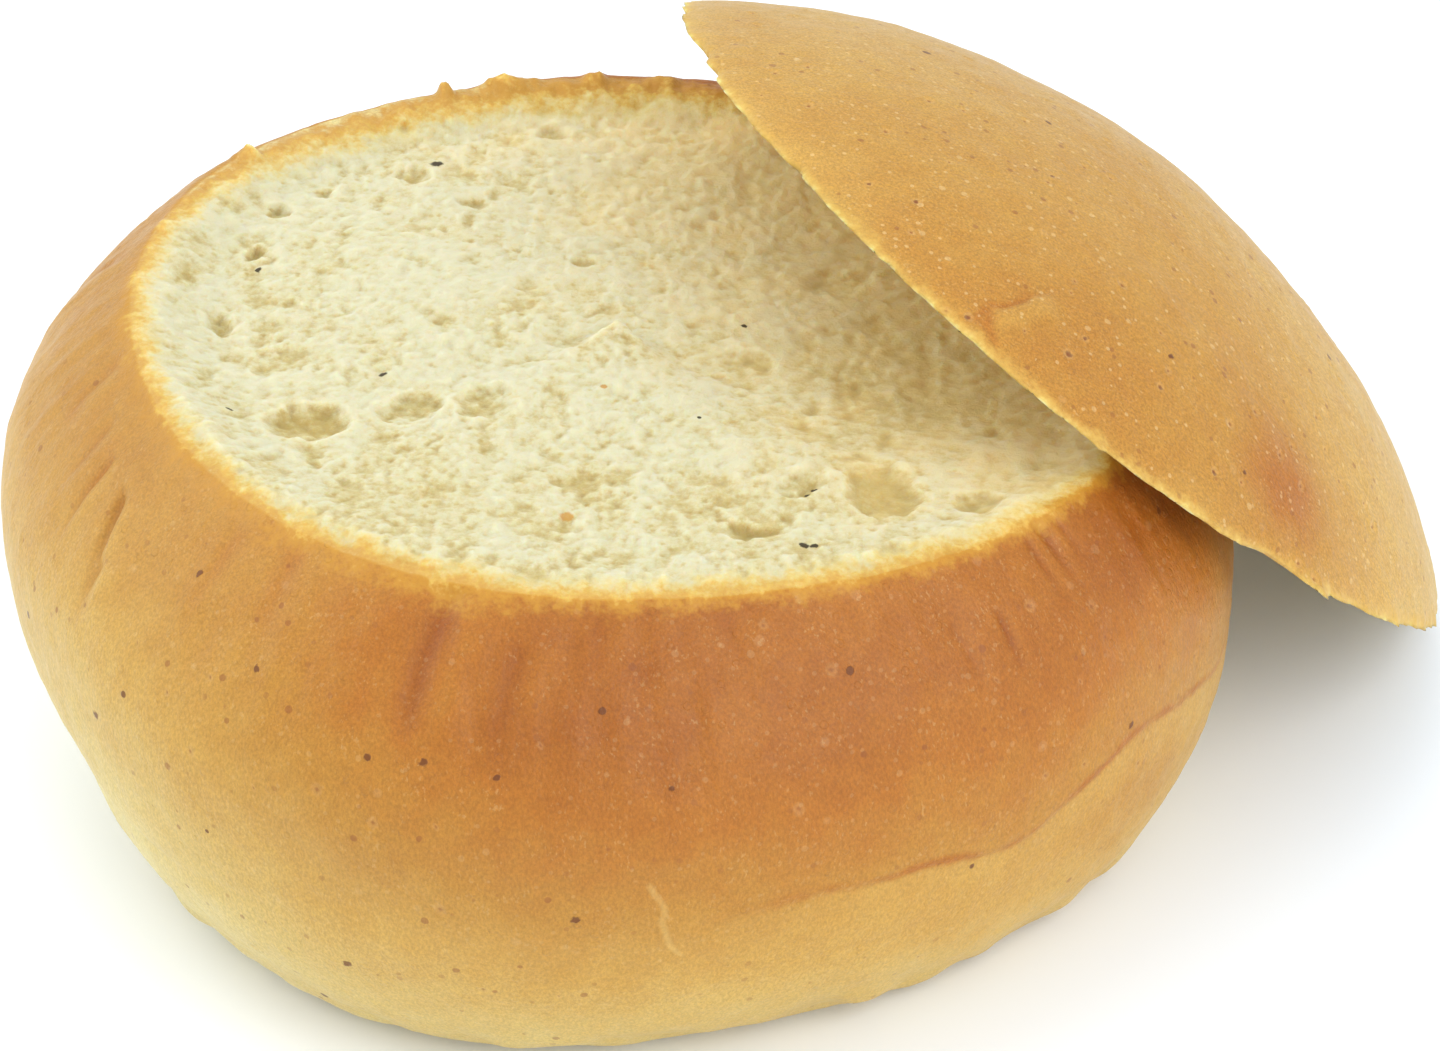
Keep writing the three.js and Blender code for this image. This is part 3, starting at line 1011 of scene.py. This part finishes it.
def crust_colour(g, offset, bran_places, texture):
    """The crust's colour, and where its bran and its seam lie. texture is how strongly its specks show."""
    toast = g.plus(g.attribute("toast"), g.wave(0.04, 55, 3, 0.5, offset + 1))
    toast = g.plus(toast, g.wave(0.035, 260, 3, 0.6, offset + 2))
    colour = g.ramp(toast, CRUST_STOPS)

    off_seam = g.math("ABSOLUTE", g.plus(g.attribute("seam"), g.wave(0.3, 300, 3, 0.6, offset + 3)))
    seam = g.times(g.span(off_seam, 0.15, 1.2, 1.0, 0.0), g.attribute("seam_on"))
    seam = g.times(seam, g.span(g.noise(130, 3, 0.6, offset + 9), 0.35, 0.55, 0.25, 1.0))
    colour = g.tint(colour, seam, 0.85, "seam")

    contrast = 0.05 + 0.13 * texture
    mottle = g.noise(3600, 3, 0.75, offset + 4, (1, 1, 0.6))
    mottle = g.span(mottle, 0.25, 0.75, 1 - contrast, 1 + contrast)
    grey = g.new("ShaderNodeCombineColor", {0: mottle, 1: mottle, 2: mottle})
    colour = g.mix(1.0, colour, grey.outputs[0], "MULTIPLY")

    patches = g.span(g.noise(350, 2, 0.6, offset + 6), 0.4, 0.65)
    fleck = g.span(g.noise(3000, 2, 0.5, offset + 5, (1, 1, 0.5)), 0.58, 0.7)
    bran = g.math("MAXIMUM", g.spots(bran_places), g.specks(170, 0.07, 0.12, offset + 7))
    burst = g.attribute("pit")
    for share, amount, paint in (
        (g.times(fleck, patches), 0.15 * texture, "fleck"),
        (g.specks(330, 0.22, 0.1, offset + 17), 0.07, "blister"),
        (g.specks(330, 0.14, 0.24, offset + 8), 0.55, "tan speck"),
        (g.specks(470, 0.17, 0.3, offset + 21), 0.34 * texture, "brown speck"),
        (g.specks(430, 0.18, 0.22, offset + 22), 0.3 * texture - 0.21, "pale speck"),
        (g.specks(900, 0.24, 0.35, offset + 23), 0.36 * texture - 0.29, "flour"),
        (bran, 0.85, "bran"),
        (g.span(burst, 0.04, 0.35), 0.12 * texture, "burst edge"),
        (g.span(burst, 0.5, 0.9), 0.3 * texture + 0.2, "burst"),
        (g.span(g.attribute("crack"), 0.05, 0.6, 1.0, 0.0), 0.25, "crack"),
    ):
        colour = g.tint(colour, share, amount, paint)
    return colour, bran, seam


def crumb_colour(g, offset, bran_places, golden_places):
    """The crumb's colour, darker in its cells as painted shade, and where its bran lies."""
    # Painted shade: small round cells darkened towards their middles.
    bubble_shade, chance = g.cells(1100, offset + 18)
    bubble_shade = g.times(g.span(bubble_shade, 0.1, 0.5, 0.3, 0.0), chance)
    deep = g.plus(g.attribute("hollow"), g.wave(0.22, 1300, 4, 0.75, offset + 10))
    deep = g.plus(deep, bubble_shade)
    colour = g.ramp(g.span(deep, -0.2, 1.0), CRUMB_STOPS)
    # Painted shade of the lid on the crumb: a warm beige tint towards the lid and the back.
    colour = g.tint(colour, g.attribute("toast"), 0.9, "lid shade tint")
    colour = g.tint(colour, g.spots(golden_places), 0.8, "golden crumb")
    wheat = g.math("MAXIMUM", g.spots(bran_places), g.specks(300, 0.07, 0.04, offset + 11))
    return g.tint(colour, wheat, 0.95, "wheat"), wheat


def bread_material(name, offset, crust_bran, crumb_bran, golden, texture, edge_stops):
    """Crust where rim is below 0 and crumb where it is above, with the browned edge of the cut between."""
    g = Graph(name)
    fuzz = g.plus(g.wave(0.9, 380, 3, 0.6, offset), g.wave(0.5, 1500, 2, 0.6, offset + 20))
    ragged = g.plus(g.attribute("rim"), fuzz)
    crumb_share = g.span(ragged, -0.3, 0.7)
    crust, bran, seam = crust_colour(g, offset, crust_bran, texture)
    crumb, wheat = crumb_colour(g, offset, crumb_bran, golden)
    colour = g.mix(crumb_share, crust, crumb)
    edge = g.ramp(g.math("DIVIDE", g.plus(ragged, 2.0), 6.0), edge_stops)
    near_edge = g.times(g.span(ragged, -2.2, -0.3), g.span(ragged, 0.8, 3.4, 1.0, 0.0))
    colour = g.mix(g.times(near_edge, 0.85), colour, edge)

    # Fine relief: leathery skin on the crust, and torn sponge in the crumb.
    grain = g.times(g.noise(1500, 3, 0.65, offset + 13, (1, 1, 0.5)), 0.9)
    leather = g.times(g.noise(380, 2, 0.5, offset + 14), 0.5)
    skin = g.plus(g.plus(grain, leather), g.times(g.specks(620, 0.3, 0.25, offset + 15), 0.35))
    skin = g.plus(skin, g.times(bran, 0.3))
    skin = g.math("SUBTRACT", skin, g.times(seam, 0.25))
    leathery = g.bump(g.times(skin, g.math("SUBTRACT", 1.0, crumb_share)), 0.0002)
    sponge = g.times(g.noise(2300, 3, 0.75, offset + 16), crumb_share)

    satin = g.span(g.noise(500, 3, 0.6, offset + 12), 0.2, 0.8, 0.38, 0.52)
    scatter = g.plus(g.times(crumb_share, 0.85), 0.15)
    inputs = {
        "Base Color": colour,
        "Roughness": g.math("ADD", satin, g.times(crumb_share, 0.45), True),
        "Subsurface Weight": g.times(scatter, g.math("SUBTRACT", 1.0, wheat)),
        "Subsurface Radius": (1.0, 0.65, 0.35),
        "Subsurface Scale": 0.004,
        "Specular IOR Level": 0.3,
        "Normal": g.bump(sponge, 0.00022, Normal=leathery),
    }
    shader = g.new("ShaderNodeBsdfPrincipled", inputs)
    g.new("ShaderNodeOutputMaterial", {"Surface": shader.outputs[0]})
    return g.material


# ---- studio


FLOOR_HALF_SIDE = 3.0
FLOOR_COLOUR = (0.91, 0.937, 0.972)
SKY_COLOUR = (0.87, 0.945, 1.0)
LAMP_COLOUR = (1.0, 0.985, 0.96)
# Name, place, what it points at, side in metres and power in watts.
LAMPS = (
    ("key", (-0.25, 0.3, 0.95), (0, 0, 0.03), 0.9, 1.9),
    ("fill", (0.45, -0.5, 0.5), (0.03, 0, 0.03), 0.7, 3.8),
    ("side", (-0.55, 0.05, 0.45), (0.03, 0, 0.04), 0.6, 1.7),
)
CAMERA_TARGET = (0.01178, 0.0, 0.02675)
CAMERA_DISTANCE = 0.5
CAMERA_ELEVATION = math.radians(35.2)
CAMERA_ROLL = math.radians(-1.74)
CAMERA_LENS = 117.25


def make_floor():
    mesh = bpy.data.meshes.new("studio_floor")
    side = FLOOR_HALF_SIDE
    corners = [(-side, -side, 0), (side, -side, 0), (side, side, 0), (-side, side, 0)]
    mesh.from_pydata(corners, [], [(0, 1, 2, 3)])
    material = bpy.data.materials.new("studio_floor")
    material.use_nodes = True
    shader = material.node_tree.nodes["Principled BSDF"]
    shader.inputs["Base Color"].default_value = (*FLOOR_COLOUR, 1)
    shader.inputs["Roughness"].default_value = 0.8
    mesh.materials.append(material)
    floor = add_object("studio_floor", mesh)


def add_area(name, place, target, size, power):
    data = bpy.data.lights.new(name, "AREA")
    data.size = size
    data.energy = power
    data.color = LAMP_COLOUR
    lamp = add_object(name, data)
    lamp.location = place
    lamp.rotation_mode = "QUATERNION"
    lamp.rotation_quaternion = (Vector(target) - Vector(place)).to_track_quat("-Z", "Y")


def light_studio():
    world = bpy.data.worlds.new("studio")
    bpy.context.scene.world = world
    world.use_nodes = True
    sky = world.node_tree.nodes["Background"]
    sky.inputs["Color"].default_value = (*SKY_COLOUR, 1)
    sky.inputs["Strength"].default_value = 1.0
    for lamp in LAMPS:
        add_area(*lamp)
    bpy.context.scene.view_settings.view_transform = "Standard"


def add_camera():
    """Looks down on the roll from the front, rolled very slightly."""
    back = Vector((0, -math.cos(CAMERA_ELEVATION), math.sin(CAMERA_ELEVATION)))
    level = Vector((1, 0, 0))
    rise = back.cross(level)
    right = math.cos(CAMERA_ROLL) * level + math.sin(CAMERA_ROLL) * rise
    up = back.cross(right)
    data = bpy.data.cameras.new("camera")
    data.sensor_width = 36.0
    data.lens = CAMERA_LENS
    camera = add_object("camera", data)
    turn = Matrix((right, up, back)).transposed()
    place = Vector(CAMERA_TARGET) + back * CAMERA_DISTANCE
    camera.matrix_world = Matrix.Translation(place) @ turn.to_4x4()
    bpy.context.scene.camera = camera


add_camera()
light_studio()
make_floor()

base = build_base(
    bread_material("base_bread", 0.0, UNROLLED_BRAN, CRUMB_BRAN, GOLDEN_CRUMBS, 1.0, BASE_EDGE_STOPS)
)
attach(base, "root")
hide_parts("roll_base")

lid = build_lid(bread_material("lid_bread", 40.0, LID_BRAN + LID_MOUTHS, (), (), 1.5, LID_EDGE_STOPS))
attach(lid, "root")
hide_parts("roll_lid")

bpy.context.view_layer.update()
